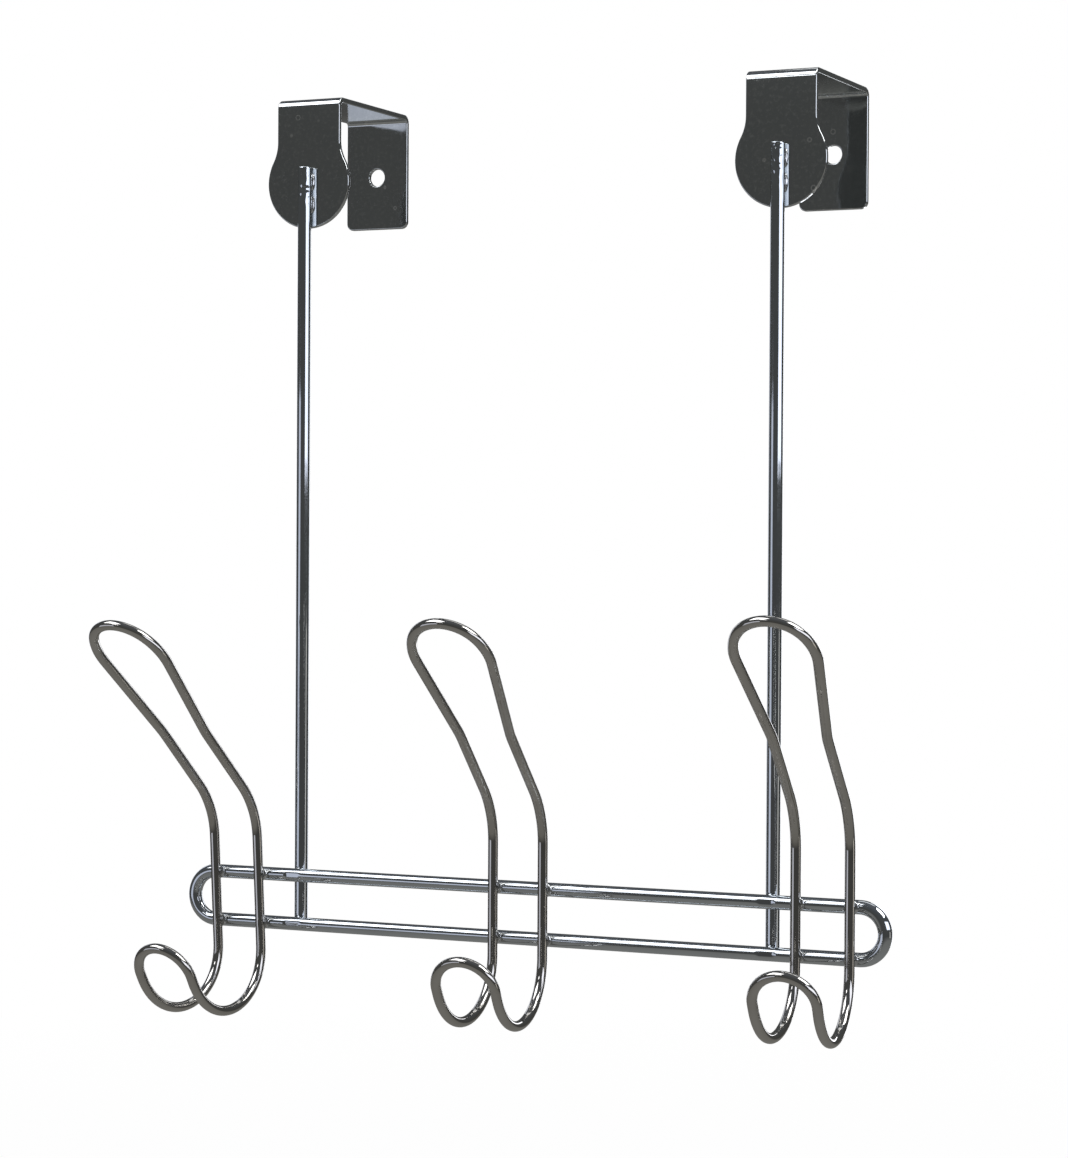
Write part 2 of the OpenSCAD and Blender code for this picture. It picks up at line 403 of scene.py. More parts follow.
# Cold-rolled strip, polished flat before plating: calm mirror, dried water spots.
STRIP_CHROME = ChromeFinish(
    name="polished_chrome_strip", tint="C9CCCD", shade="B9BDBE", roughness=0.05, haze=0.05,
    wave_mm=9.0, wave_depth_mm=0.02, spot_mm=7.0)

# Drawn 3.8 mm wire: long streaks from the die, wider than life so that they show.
ROD_CHROME = ChromeFinish(
    name="polished_chrome_rod", tint="CDD2D6", shade="BEC3C8", roughness=0.05, haze=0.04,
    wave_mm=9.0, wave_depth_mm=0.02, line_mm=0.7, line_depth_mm=0.008, wire_d_mm=SIZES.rail_d)

# Thinner wire bent cold: the plating is a little warmer and duller than on the rods.
HOOK_CHROME = ChromeFinish(
    name="polished_chrome_hook", tint="CAC8C4", shade="B4B1AC", roughness=0.04, haze=0.04,
    wave_mm=6.0, wave_depth_mm=0.02, line_mm=0.6, line_depth_mm=0.006, wire_d_mm=SIZES.hook_d)

# Metal squeezed out at the crossings, plated with the rest: rippled and brighter.
WELD_CHROME = ChromeFinish(
    name="plated_weld_bead", tint="DADCDE", shade="C4C6C8", roughness=0.14, haze=0.1,
    wave_mm=1.5, wave_depth_mm=0.05, pit_mm=0.4, pit_depth_mm=0.03)


# ------------------------------------------------------------------ mesh helpers


def mesh_object(name: str, mesh: bpy.types.Mesh) -> bpy.types.Object:
    """Links a mesh into the scene as an object at the origin.

    Args:
        name: The object's name.
        mesh: Its mesh, already in its place.

    Returns:
        The new object.
    """
    made = bpy.data.objects.new(name, mesh)
    bpy.context.scene.collection.objects.link(made)
    return made


def bake(made: bpy.types.Object) -> None:
    """Replaces an object's mesh with the result of its modifiers, and removes them.

    Args:
        made: The object to bake.
    """
    bpy.context.view_layer.update()
    graph = bpy.context.evaluated_depsgraph_get()
    baked = bpy.data.meshes.new_from_object(made.evaluated_get(graph))
    baked.name = made.name
    made.modifiers.clear()
    made.data = baked


def face_outwards(mesh: bpy.types.Mesh) -> None:
    """Merges doubles and turns every face of a closed mesh outwards.

    Args:
        mesh: The closed mesh.
    """
    shape = bmesh.new()
    shape.from_mesh(mesh)
    bmesh.ops.remove_doubles(shape, verts=shape.verts, dist=SAME_POINT_MM * MM)
    bmesh.ops.recalc_face_normals(shape, faces=shape.faces)
    shape.to_mesh(mesh)
    shape.free()


def install(made: bpy.types.Object, finish: bpy.types.Material | None, node: str) -> bpy.types.Object:
    """Gives a finished piece its material and its place in the frame.

    Args:
        made: The piece, with its place in its mesh.
        finish: The material, or None where the mesh already carries it.
        node: The CAD node that the piece stands for.

    Returns:
        The same piece.
    """
    if finish is not None:
        made.data.materials.clear()
        made.data.materials.append(finish)
    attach(made, BODY)
    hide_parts(node)
    LOG.info("%s: %d faces, stands for %s", made.name, len(made.data.polygons), node)
    return made


def arc(centre: tuple[float, float], radius: float, start: float, end: float,
        step: float = 4.0) -> list[tuple[float, float]]:
    """Points along an arc in a plane.

    Args:
        centre: The arc's centre.
        radius: Its radius.
        start: Angle of the first point, in degrees from the first axis.
        end: Angle of the last point.
        step: Largest angle between two points.

    Returns:
        The points, both ends included.
    """
    count = max(2, math.ceil(abs(end - start) / step))
    angles = [math.radians(start + (end - start) * i / count) for i in range(count + 1)]
    return [(centre[0] + radius * math.cos(a), centre[1] + radius * math.sin(a)) for a in angles]


# ------------------------------------------------------------------ wire sweep


@dataclass
class WireSweep:
    """Sweeps round wire along a path with one Geometry Nodes tree, shared by every wire.

    The tree also marks each point with its distance along the wire and its direction from
    the wire's centre, which the drawing lines of the finish follow.
    """

    sides: int = 32
    ring_mm: float = 0.5
    tree: bpy.types.NodeTree = field(init=False)

    def __post_init__(self) -> None:
        """Builds the tree once."""
        self.tree = self._build_tree()

    def _build_tree(self) -> bpy.types.NodeTree:
        """Builds the tree with its named inputs.

        Returns:
            The node tree.
        """
        tree = bpy.data.node_groups.new("round_wire_sweep", "GeometryNodeTree")
        face = tree.interface
        face.new_socket("Path", in_out="INPUT", socket_type="NodeSocketGeometry")
        face.new_socket("Wire radius", in_out="INPUT", socket_type="NodeSocketFloat")
        face.new_socket("Sides", in_out="INPUT", socket_type="NodeSocketInt")
        face.new_socket("Ring spacing", in_out="INPUT", socket_type="NodeSocketFloat")
        face.new_socket("Finish", in_out="INPUT", socket_type="NodeSocketMaterial")
        face.new_socket("Wire", in_out="OUTPUT", socket_type="NodeSocketGeometry")
        given = add_node(tree, "NodeGroupInput").outputs
        path = add_node(tree, "GeometryNodeMeshToCurve", inputs={"Mesh": given["Path"]})
        even = add_node(tree, "GeometryNodeResampleCurve", {"mode": "LENGTH"}, {
            "Curve": path.outputs["Curve"], "Length": given["Ring spacing"]})
        length = add_node(tree, "GeometryNodeSplineParameter").outputs["Length"]
        marked = add_node(tree, "GeometryNodeStoreNamedAttribute", {
            "data_type": "FLOAT", "domain": "POINT"}, {
            "Geometry": even.outputs["Curve"], "Name": ALONG, "Value": length})
        circle = add_node(tree, "GeometryNodeCurvePrimitiveCircle", {"mode": "RADIUS"}, {
            "Resolution": given["Sides"], "Radius": given["Wire radius"]})
        outwards = add_node(tree, "ShaderNodeVectorMath", {"operation": "NORMALIZE"}, {
            0: add_node(tree, "GeometryNodeInputPosition").outputs["Position"]})
        profile = add_node(tree, "GeometryNodeStoreNamedAttribute", {
            "data_type": "FLOAT_VECTOR", "domain": "POINT"}, {
            "Geometry": circle.outputs["Curve"], "Name": RING, "Value": outwards.outputs[0]})
        tube = add_node(tree, "GeometryNodeCurveToMesh", inputs={
            "Curve": marked.outputs["Geometry"], "Profile Curve": profile.outputs["Geometry"],
            "Fill Caps": True})
        real = add_node(tree, "GeometryNodeRealizeInstances", inputs={
            "Geometry": tube.outputs["Mesh"]})
        smooth = add_node(tree, "GeometryNodeSetShadeSmooth", inputs={
            "Geometry": real.outputs["Geometry"], "Shade Smooth": True})
        dressed = add_node(tree, "GeometryNodeSetMaterial", inputs={
            "Geometry": smooth.outputs["Geometry"], "Material": given["Finish"]})
        add_node(tree, "NodeGroupOutput", inputs={"Wire": dressed.outputs["Geometry"]})
        return tree

    def sweep(self, name: str, path: list[Vector], closed: bool, wire_d: float,
              finish: bpy.types.Material) -> bpy.types.Object:
        """Makes one wire.

        Args:
            name: The piece's name.
            path: Points along the wire's centre line, in millimetres.
            closed: Whether the wire's two ends are joined.
            wire_d: The wire's diameter in millimetres.
            finish: The wire's material.

        Returns:
            The wire as a plain mesh object.
        """
        count = len(path)
        edges = [(i, (i + 1) % count) for i in range(count if closed else count - 1)]
        line = bpy.data.meshes.new(name)
        line.from_pydata([p * MM for p in path], edges, [])
        made = mesh_object(name, line)
        modifier = made.modifiers.new("sweep", "NODES")
        modifier.node_group = self.tree
        values = {"Wire radius": wire_d / 2 * MM, "Sides": self.sides,
                  "Ring spacing": self.ring_mm * MM, "Finish": finish}
        for item in self.tree.interface.items_tree:
            if item.in_out == "INPUT" and item.name in values:
                modifier[item.identifier] = values[item.name]
        bake(made)
        face_outwards(made.data)
        return made


def press_flat(mesh: bpy.types.Mesh, centre: Vector, half: float, face_y: float) -> None:
    """Presses the flat that a welding electrode leaves on a wire's room side.

    Args:
        mesh: The wire's mesh.
        centre: Middle of the flat, in millimetres; its depth isn't used.
        half: Half the flat's length across the wire's front, in millimetres.
        face_y: Depth of the flat, in millimetres.
    """
    for vertex in mesh.vertices:
        x, y, z = (value / MM for value in vertex.co)
        if abs(x - centre.x) > half or abs(z - centre.z) > half:
            continue
        if y < face_y:
            vertex.co.y = face_y * MM


# ------------------------------------------------------------------ brackets


@dataclass
class StripBracket:
    """One bent steel strip: keyhole front plate, flat top run and drilled back plate."""

    side: Side
    finish: bpy.types.Material
    sizes: Sizes = SIZES
    edge_mm: float = 0.34
    edge_segments: int = 3
    sharp_angle: float = 50.0
    bend_steps: int = 10
    hole_step: float = 6.0
    corner_step: float = 15.0

    def build(self) -> bpy.types.Object:
        """Builds the bracket and stands it in for its CAD node.

        Returns:
            The finished piece.
        """
        made = mesh_object(f"{self.side.value}_strip_bracket", self._sheet())
        solid = made.modifiers.new("thickness", "SOLIDIFY")
        solid.thickness = self.sizes.strip_t * MM
        solid.offset = -1.0
        solid.use_even_offset = True
        edge = made.modifiers.new("rounded_edge", "BEVEL")
        edge.width = self.edge_mm * MM
        edge.segments = self.edge_segments
        edge.limit_method = "ANGLE"
        edge.angle_limit = math.radians(self.sharp_angle)
        edge.harden_normals = True
        bake(made)
        return install(made, self.finish, f"bracket_{self.side.value}")

    def _sheet(self) -> bpy.types.Mesh:
        """Builds the outer face of the strip, one sheet from the round end to the back edge.

        Returns:
            The sheet's mesh, facing out of the bend.
        """
        s = self.sizes
        shape = bmesh.new()
        bend_out = s.bend_r + s.strip_t
        middle = self.side.sign * s.bracket_spacing / 2

        def point(x: float, y: float, z: float) -> bmesh.types.BMVert:
            """Adds one point to the sheet.

            Args:
                x: Place across the strip, in millimetres from its middle.
                y: Depth in millimetres.
                z: Height in millimetres.

            Returns:
                The new point.
            """
            return shape.verts.new(((middle + x) * MM, y * MM, z * MM))

        half = s.strip_w / 2
        rows = []
        for y0, start, end in ((s.front_y + bend_out, 180, 90), (s.strip_t - bend_out, 90, 0)):
            for y, z in arc((y0, s.top_z - bend_out), bend_out, start, end, 90 / self.bend_steps):
                rows.append((point(-half, y, z), point(half, y, z)))
        for low, high in zip(rows, rows[1:]):
            shape.faces.new((low[0], low[1], high[1], high[0]))
        front = [point(x, s.front_y, z) for x, z in self._keyhole()]
        shape.faces.new([rows[0][1], rows[0][0], *front])
        self._back_plate(shape, rows[-1], point)
        bmesh.ops.recalc_face_normals(shape, faces=shape.faces)
        top = max(shape.faces, key=lambda f: f.calc_center_median().z)
        if top.normal.z < 0:
            bmesh.ops.reverse_faces(shape, faces=shape.faces)
        for face in shape.faces:
            face.smooth = True
        sheet = bpy.data.meshes.new(f"{self.side.value}_strip")
        shape.to_mesh(sheet)
        shape.free()
        return sheet

    def _keyhole(self) -> list[tuple[float, float]]:
        """Outline of the front plate below the bend, from its left edge round to its right.

        Returns:
            Points (x, z) in millimetres.
        """
        s = self.sizes
        half = s.strip_w / 2
        disc_z = s.top_z - s.disc_drop
        disc_r = s.disc_d / 2
        neck = (half + s.neck_r, math.sqrt((disc_r + s.neck_r) ** 2 - (half + s.neck_r) ** 2))
        lean = math.degrees(math.atan2(neck[1], neck[0]))
        left = arc((-neck[0], disc_z + neck[1]), s.neck_r, 0, -lean)
        rim = arc((0, disc_z), disc_r, 180 - lean, 360 + lean)
        right = arc((neck[0], disc_z + neck[1]), s.neck_r, 180 + lean, 180)
        return left + rim[1:-1] + right

    def _back_plate(self, shape: bmesh.types.BMesh, edge: tuple,
                    point: Callable[[float, float, float], bmesh.types.BMVert]) -> None:
        """Adds the back plate as two halves that meet above and below the screw hole.

        Args:
            shape: The mesh being built.
            edge: The two points where the rear bend ends.
            point: Adds a point given in millimetres.
        """
        s = self.sizes
        half, r = s.strip_w / 2, s.corner_r
        low = s.top_z - s.back_h
        seam_top = point(0, s.strip_t, s.top_z - s.bend_r - s.strip_t)
        seam_low = point(0, s.strip_t, low)
        circle = arc((0, 0), s.hole_d / 2, 90, 450, self.hole_step)[:-1]
        ring = [point(x, s.strip_t, z) for x, z in circle]
        opposite = len(ring) // 2
        left_hole = ring[: opposite + 1]
        right_hole = [ring[0], *ring[:opposite - 1:-1]]
        for sign, corner, hole in ((-1, edge[0], left_hole), (1, edge[1], right_hole)):
            start = 90 - sign * 90
            centre = (sign * (half - r), low + r)
            turned = arc(centre, r, start, start - sign * 90, self.corner_step)
            rim = [point(x, s.strip_t, z) for x, z in turned]
            shape.faces.new([seam_top, corner, *rim, seam_low, *reversed(hole)])
        bend_edge = next(e for e in edge[0].link_edges if e.other_vert(edge[0]) is edge[1])
        quad = bend_edge.link_faces[0]
        others = [v for v in quad.verts if v not in edge]
        others.sort(key=lambda v: v.co.x)
        bmesh.ops.delete(shape, geom=[quad], context="FACES_KEEP_BOUNDARY")
        shape.faces.new((others[0], others[1], edge[1], seam_top, edge[0]))


# ------------------------------------------------------------------ rods and rail


@dataclass
class UprightRod:
    """One straight rod, cut square with a broken edge, scarred by welding near its top."""

    side: Side
    finish: bpy.types.Material
    sizes: Sizes = SIZES
    sides: int = 48
    chamfer_mm: float = 0.35
    chamfer_step: float = 22.5
    plain_rings: int = 80
    scar_rings: int = 40
    scar_mm: float = 13.0
    scar_depth_mm: float = 0.22
    scar_share: float = 0.15
    scar_around: float = 1.4
    scar_along: float = 0.55
    scar_seed: float = 7.0
    scar_start: float = 0.04
    scar_low_fade: float = 3.0
    scar_back: float = 0.2
    scar_back_fade: float = 2.0

    def build(self) -> bpy.types.Object:
        """Builds the rod and stands it in for its CAD node.

        Returns:
            The finished piece.
        """
        s = self.sizes
        middle = Vector((self.side.sign * s.bracket_spacing / 2, s.upright_y, 0))
        shape = bmesh.new()
        ring_key = shape.verts.layers.float_vector.new(RING)
        along_key = shape.verts.layers.float.new(ALONG)
        rows = []
        for z, radius in self._profile():
            row = []
            for i in range(self.sides):
                turn = 2 * math.pi * i / self.sides
                out = Vector((math.cos(turn), math.sin(turn), 0))
                place = middle + out * self._scarred(radius, out, z) + Vector((0, 0, z))
                vertex = shape.verts.new(place * MM)
                vertex[ring_key] = out
                vertex[along_key] = z * MM
                row.append(vertex)
            rows.append(row)
        for low, high in zip(rows, rows[1:]):
            for i in range(self.sides):
                j = (i + 1) % self.sides
                shape.faces.new((low[i], low[j], high[j], high[i])).smooth = True
        shape.faces.new(list(reversed(rows[0])))
        shape.faces.new(rows[-1])
        mesh = bpy.data.meshes.new(f"{self.side.value}_upright_rod")
        shape.to_mesh(mesh)
        shape.free()
        made = mesh_object(mesh.name, mesh)
        return install(made, self.finish, f"upright_{self.side.value}")

    def _profile(self) -> list[tuple[float, float]]:
        """Places the rod's rings, close together where the scar is.

        Returns:
            Height and radius of each ring, from the lower end to the upper end.
        """
        s = self.sizes
        radius, c = s.upright_d / 2, self.chamfer_mm
        count = round(90 / self.chamfer_step)
        turns = [math.radians(self.chamfer_step * i) for i in range(count + 1)]
        ends = [(c * (1 - math.cos(a)), c * (1 - math.sin(a))) for a in turns]
        low = [(s.upright_low_z + up, radius - inset) for up, inset in ends]
        high = [(s.upright_top_z - up, radius - inset) for up, inset in reversed(ends)]
        scar_z = s.upright_top_z - self.scar_mm
        down, up = s.upright_low_z + c - scar_z, self.scar_mm - c
        plain = [scar_z + down * i / self.plain_rings for i in range(self.plain_rings - 1, 0, -1)]
        fine = [scar_z + up * i / self.scar_rings for i in range(self.scar_rings)]
        return low + [(z, radius) for z in plain + fine] + high

    def _scarred(self, radius: float, out: Vector, z: float) -> float:
        """Dents the rod where the welder's electrode pressed near its top.

        Args:
            radius: The rod's radius there.
            out: Direction from the rod's centre line to the point.
            z: The point's height.

        Returns:
            The point's distance from the centre line.
        """
        s = self.sizes
        down = (s.upright_top_z - z) / self.scar_mm
        if down >= 1 or down < self.scar_start or out.y > self.scar_back:
            return radius
        around, along = out.x * self.scar_around, z * self.scar_along
        seed = Vector((self.side.sign * self.scar_seed, around, along))
        dent = max(0.0, noise.noise(seed) + self.scar_share)
        low_fade = min(1.0, (1 - down) * self.scar_low_fade)
        back_fade = min(1.0, (self.scar_back - out.y) * self.scar_back_fade)
        return radius - dent * (low_fade * back_fade) * self.scar_depth_mm


@dataclass
class WireRail:
    """The closed rail: two straight runs joined by a half ring at each end."""

    finish: bpy.types.Material
    wires: WireSweep
    sizes: Sizes = SIZES
    flat_half_mm: float = 2.4
    flat_depth_mm: float = 0.2
    end_step: float = 3.0

    def build(self) -> bpy.types.Object:
        """Builds the rail and stands it in for its CAD node.

        Returns:
            The finished piece.
        """
        s = self.sizes
        end = s.rail_length / 2 - s.rail_d / 2 - s.rail_gap / 2
        outline = arc((end, s.rail_mid_z), s.rail_gap / 2, -90, 90, self.end_step)
        outline += arc((-end, s.rail_mid_z), s.rail_gap / 2, 90, 270, self.end_step)
        path = [Vector((x, s.rail_y, z)) for x, z in outline]
        made = self.wires.sweep("closed_wire_rail", path, True, s.rail_d, self.finish)
        face_y = s.rail_y - s.rail_d / 2 + self.flat_depth_mm
        for side in OUTER:
            for z in (s.rail_z, s.low_rail_z):
                spot = Vector((side.sign * s.bracket_spacing / 2, s.rail_y, z))
                press_flat(made.data, spot, self.flat_half_mm, face_y)
        return install(made, None, "rail_loop")


# ------------------------------------------------------------------ hooks


@dataclass
class FlatPath:
    """A line drawn flat, from a start point, by straight runs and turns."""

    x: float
    u: float
    heading: float = 0.0
    step: float = 3.0
    points: list[tuple[float, float]] = field(default_factory=list)

    def __post_init__(self) -> None:
        """Starts the line at its first point."""
        self.points.append((self.x, self.u))

    def ahead(self, length: float) -> "FlatPath":
        """Runs straight on.

        Args:
            length: The run's length.

        Returns:
            The same path.
        """
        a = math.radians(self.heading)
        self.x += length * math.sin(a)
        self.u += length * math.cos(a)
        self.points.append((self.x, self.u))
        return self

    def turn(self, heading: float, radius: float) -> "FlatPath":
        """Turns to a new heading at a radius.

        Args:
            heading: Degrees outward from straight ahead at the turn's end.
            radius: The turn's radius.

        Returns:
            The same path.
        """
        sign = 1 if heading > self.heading else -1
        start, x0, u0 = math.radians(self.heading), self.x, self.u
        count = max(2, math.ceil(abs(heading - self.heading) / self.step))
        for i in range(1, count + 1):
            now = start + (math.radians(heading) - start) * i / count
            self.x = x0 + sign * radius * (math.cos(start) - math.cos(now))
            self.u = u0 + sign * radius * (math.sin(now) - math.sin(start))
            self.points.append((self.x, self.u))
        self.heading = heading
        return self


@dataclass(frozen=True)
class HookFit:
    """How one hook sits on the rail after hand welding, in degrees and millimetres."""

    turn: float = 0.0
    lean: float = 0.0
    rise: float = 0.0
    squeeze: float = 0.0


HOOK_FITS = {
    Side.LEFT: HookFit(turn=-9.0, lean=-2.5, rise=-2.0, squeeze=1.0),
    Side.MIDDLE: HookFit(),
    Side.RIGHT: HookFit(turn=2.5, rise=2.0),
}


@dataclass
class DoubleHook:
    """One closed wire: a leaning teardrop loop, two legs and a J with a rounded tip."""

    side: Side
    finish: bpy.types.Material
    wires: WireSweep
    sizes: Sizes = SIZES
    leg_rise: float = 12.4
    arm_bend_r: float = 22.0
    arm_angle: float = 43.5
    arm_straight: float = 20.0
    arm_spread: float = 7.0
    spread_r: float = 27.0
    spread_run: float = 26.0
    shoulder_r: float = 15.0
    shoulder_angle: float = 35.0
    leg_fall: float = 4.4
    j_r: float = 16.4
    j_angle: float = 155.0
    j_splay: float = 2.2
    tip_run: float = 1.5
    bend_step: float = 3.0

    def build(self) -> bpy.types.Object:
        """Builds the hook and stands it in for its CAD node.

        Returns:
            The finished piece.
        """
        s = self.sizes
        half = self._tip()[::-1] + self._j()[::-1] + self._bend() + self._arm()
        right = [p for i, p in enumerate(half) if i == 0 or (p - half[i - 1]).length > SAME_STEP_MM]
        left = [Vector((-p.x, p.y, p.z)) for p in reversed(right[1:-1])]
        fit = HOOK_FITS[self.side]
        middle = self.side.sign * s.hook_pitch
        path = []
        for p in right + left:
            shift = self.lean_x(p.z + fit.rise) - p.y * math.tan(math.radians(fit.turn))
            across = p.x * (1 - fit.squeeze / s.leg_gap)
            path.append(Vector((middle + across + shift, s.hook_y + p.y, p.z + fit.rise)))
        name = f"{self.side.value}_double_hook"
        made = self.wires.sweep(name, path, True, s.hook_d, self.finish)
        return install(made, None, f"hook_{self.side.value}")

    def lean_x(self, z: float) -> float:
        """Gives the sideways shift of a leg that leans.

        Args:
            z: Height in millimetres.

        Returns:
            The shift in millimetres.
        """
        fit = HOOK_FITS[self.side]
        return (z - fit.rise - self.sizes.rail_mid_z) * math.tan(math.radians(fit.lean))

    def _bend(self) -> list[Vector]:
        """Draws the leg's forward bend.

        Returns:
            Points from the straight leg to the arm.
        """
        x, z = self.sizes.leg_gap / 2, self.sizes.rail_z + self.leg_rise
        flat = arc((-self.arm_bend_r, z), self.arm_bend_r, 0, self.arm_angle, self.bend_step)
        return [Vector((x, y, up)) for y, up in flat]

    def _arm(self) -> list[Vector]:
        """Draws the arm and half its loop, flat at first and then tipped forward.

        Returns:
            Points from the forward bend to the crown's middle.
        """
        flat = FlatPath(self.sizes.leg_gap / 2, 0)
        flat.ahead(self.arm_straight).turn(self.arm_spread, self.spread_r).ahead(self.spread_run)
        flat.turn(self.arm_spread - self.shoulder_angle, self.shoulder_r)
        flat.turn(-90, flat.x / math.cos(math.radians(flat.heading)))
        a = math.radians(self.arm_angle)
        y0 = -self.arm_bend_r * (1 - math.cos(a))
        z0 = self.sizes.rail_z + self.leg_rise + self.arm_bend_r * math.sin(a)
        return [Vector((x, y0 - u * math.sin(a), z0 + u * math.cos(a))) for x, u in flat.points]

    def _j_point(self, turned: float) -> Vector:
        """Finds a point of the J, which splays outward a little as it comes forward.

        Args:
            turned: Degrees that the J has turned since the leg.

        Returns:
            The point.
        """
        a, splay = math.radians(turned), math.radians(self.j_splay)
        out = self.j_r * (1 - math.cos(a))
        z = self.sizes.low_rail_z - self.leg_fall - self.j_r * math.sin(a)
        return Vector((self.sizes.leg_gap / 2 + out * math.sin(splay), -out * math.cos(splay), z))

    def _j(self) -> list[Vector]:
        """Draws the J.

        Returns:
            Points from the leg down and round to where the tip starts.
        """
        count = math.ceil(self.j_angle / self.bend_step)
        return [self._j_point(self.j_angle * i / count) for i in range(count + 1)]

    def _tip(self) -> list[Vector]:
        """Draws half the rounded tip.

        Returns:
            Points from the end of the J to the tip's middle.
        """
        a, splay = math.radians(self.j_angle), math.radians(self.j_splay)
        lean = math.degrees(math.asin(math.sin(a) * math.sin(splay)))
        start = self._j_point(self.j_angle)
        flat = FlatPath(start.x, 0, lean).ahead(self.tip_run)
        flat.turn(-90, flat.x / math.cos(math.radians(lean)))
        head = math.atan2(math.sin(a) * math.cos(splay), -math.cos(a))
        return [Vector((x, start.y - u * math.sin(head), start.z + u * math.cos(head)))
                for x, u in flat.points]


# ------------------------------------------------------------------ welds


@dataclass
class WeldBeads:
    """Small rippled beads squeezed out where two pieces cross, all of one group in one mesh."""

    name: str
    node: str
    finish: bpy.types.Material
    beads: list[tuple[Vector, Vector]] = field(default_factory=list)
    fineness: int = 4
    ripple: float = 0.1
    ripple_scale: float = 2.3

    def add(self, centre: Vector, radii: Vector) -> None:
        """Adds one bead.

        Args:
            centre: The bead's centre, in millimetres.
            radii: Its three radii, in millimetres.
        """
        self.beads.append((centre, radii))

    def build(self) -> bpy.types.Object:
        """Builds the group and stands it in for its CAD node.

        Returns:
            The finished piece.
        """
        shape = bmesh.new()
        for centre, radii in self.beads:
            ball = bmesh.ops.create_icosphere(shape, subdivisions=self.fineness, radius=1.0)
            for vertex in ball["verts"]:
                out = vertex.co.copy()
                swell = 1 + self.ripple * noise.noise(out * self.ripple_scale + centre)
                place = centre + Vector((out.x * radii.x, out.y * radii.y, out.z * radii.z)) * swell
                vertex.co = place * MM
        for face in shape.faces:
            face.smooth = True
        mesh = bpy.data.meshes.new(self.name)
        shape.to_mesh(mesh)
        shape.free()
        return install(mesh_object(self.name, mesh), self.finish, self.node)


@dataclass
class Welds:
    """Every weld of the hanger: plates to rods, rods to rail and rail to hooks."""

    finish: bpy.types.Material
    hooks: dict[Side, DoubleHook]
    sizes: Sizes = SIZES
    plate_drops: tuple[float, float] = (4.0, 10.5)
    plate_reach: float = 1.35
    plate_sink: float = 0.25
    plate_radii: tuple[float, float, float] = (0.8, 0.55, 2.5)
    rod_radii: tuple[float, float, float] = (1.9, 0.7, 1.9)
    hook_radii: tuple[float, float, float] = (2.0, 0.7, 1.9)

    def build(self) -> list[bpy.types.Object]:
        """Builds all weld groups.

        Returns:
            One object for each group.
        """
        return ([self._on_plate(side) for side in OUTER] + [self._on_rod(side) for side in OUTER]
                + [self._on_hook(side) for side in Side])

    def _on_plate(self, side: Side) -> bpy.types.Object:
        """Makes the two pairs of fillets between an upright and its front plate.

        Args:
            side: Which bracket.

        Returns:
            The group.
        """
        s = self.sizes
        group = WeldBeads(f"{side.value}_plate_welds", f"weld_bracket_{side.value}", self.finish)
        x = side.sign * s.bracket_spacing / 2
        y = s.front_y - self.plate_sink
        for drop in self.plate_drops:
            for hand in (-1, 1):
                spot = Vector((x + hand * self.plate_reach, y, s.upright_top_z - drop))
                group.add(spot, Vector(self.plate_radii))
        return group.build()

    def _on_rod(self, side: Side) -> bpy.types.Object:
        """Makes the two beads between an upright and the rail's wires.

        Args:
            side: Which upright.

        Returns:
            The group.
        """
        s = self.sizes
        group = WeldBeads(f"{side.value}_rod_welds", f"weld_upright_{side.value}", self.finish)
        x = side.sign * s.bracket_spacing / 2
        y = s.upright_y - s.upright_d / 2 - s.weld_gap / 2
        for z in (s.rail_z, s.low_rail_z):
            group.add(Vector((x, y, z)), Vector(self.rod_radii))
        return group.build()

    def _on_hook(self, side: Side) -> bpy.types.Object:
        """Makes the four beads between a hook's legs and the rail's wires.

        Args:
            side: Which hook.

        Returns:
            The group.
        """
        s = self.sizes
        group = WeldBeads(f"{side.value}_hook_welds", f"weld_hook_{side.value}", self.finish)
        y = s.rail_y - s.rail_d / 2 - s.weld_gap / 2
        for hand in (-1, 1):
            for z in (s.rail_z, s.low_rail_z):
                reach = hand * (s.leg_gap - HOOK_FITS[side].squeeze) / 2
                x = side.sign * s.hook_pitch + reach + self.hooks[side].lean_x(z)
                group.add(Vector((x, y, z)), Vector(self.hook_radii))
        return group.build()


# ------------------------------------------------------------------ studio


@dataclass(frozen=True)
class SoftBox:
    """One rectangular studio light or pale card, placed by its direction from the object.

    Its direction is in degrees, with azimuth 0 towards the room and 90 to the right. Its
    brightness is what a perfect mirror would show of it, where 1 is white.
    """

    name: str
    azimuth: float
    elevation: float
    width: float
    height: float
    brightness: float
    colour: str = "FFFFFF"
    distance: float = 1.3


SOFT_BOXES = (
    SoftBox("high_key_box", -45, 50, 0.95, 0.62, 4.2, "FAFBFF"),
    SoftBox("mid_key_box", -19, 26, 0.36, 0.12, 3.4, "FAFBFF"),
    SoftBox("high_right_box", 100, 47, 0.85, 0.62, 5.4),
    SoftBox("low_left_card", -40, -4, 0.8, 0.4, 0.8, "E9EEFF"),
    SoftBox("upper_right_card", 82, 12, 1.4, 0.44, 2.0, "EEF2FF"),
    SoftBox("lower_right_card", 100, -9, 0.3, 0.3, 0.8, "FFFAF2"),
    SoftBox("rear_right_card", 178, 2, 0.3, 0.9, 3.0, "F6F8FF"),
    SoftBox("rear_left_card", -128, 4, 0.4, 0.9, 1.2, "EEF2FF"),
    SoftBox("rear_high_box", 176, 62, 0.8, 0.4, 1.2),
)


# The dim room from straight down (0) to straight up (1): a warm floor, a dark horizon and a
# cool ceiling.
ROOM_SHADES = (
    (0.0, "8B8A87"), (0.34, "807F7B"), (0.43, "4D4D4C"), (0.6, "525352"), (0.8, "54575A"),
    (1.0, "686B70"),
)


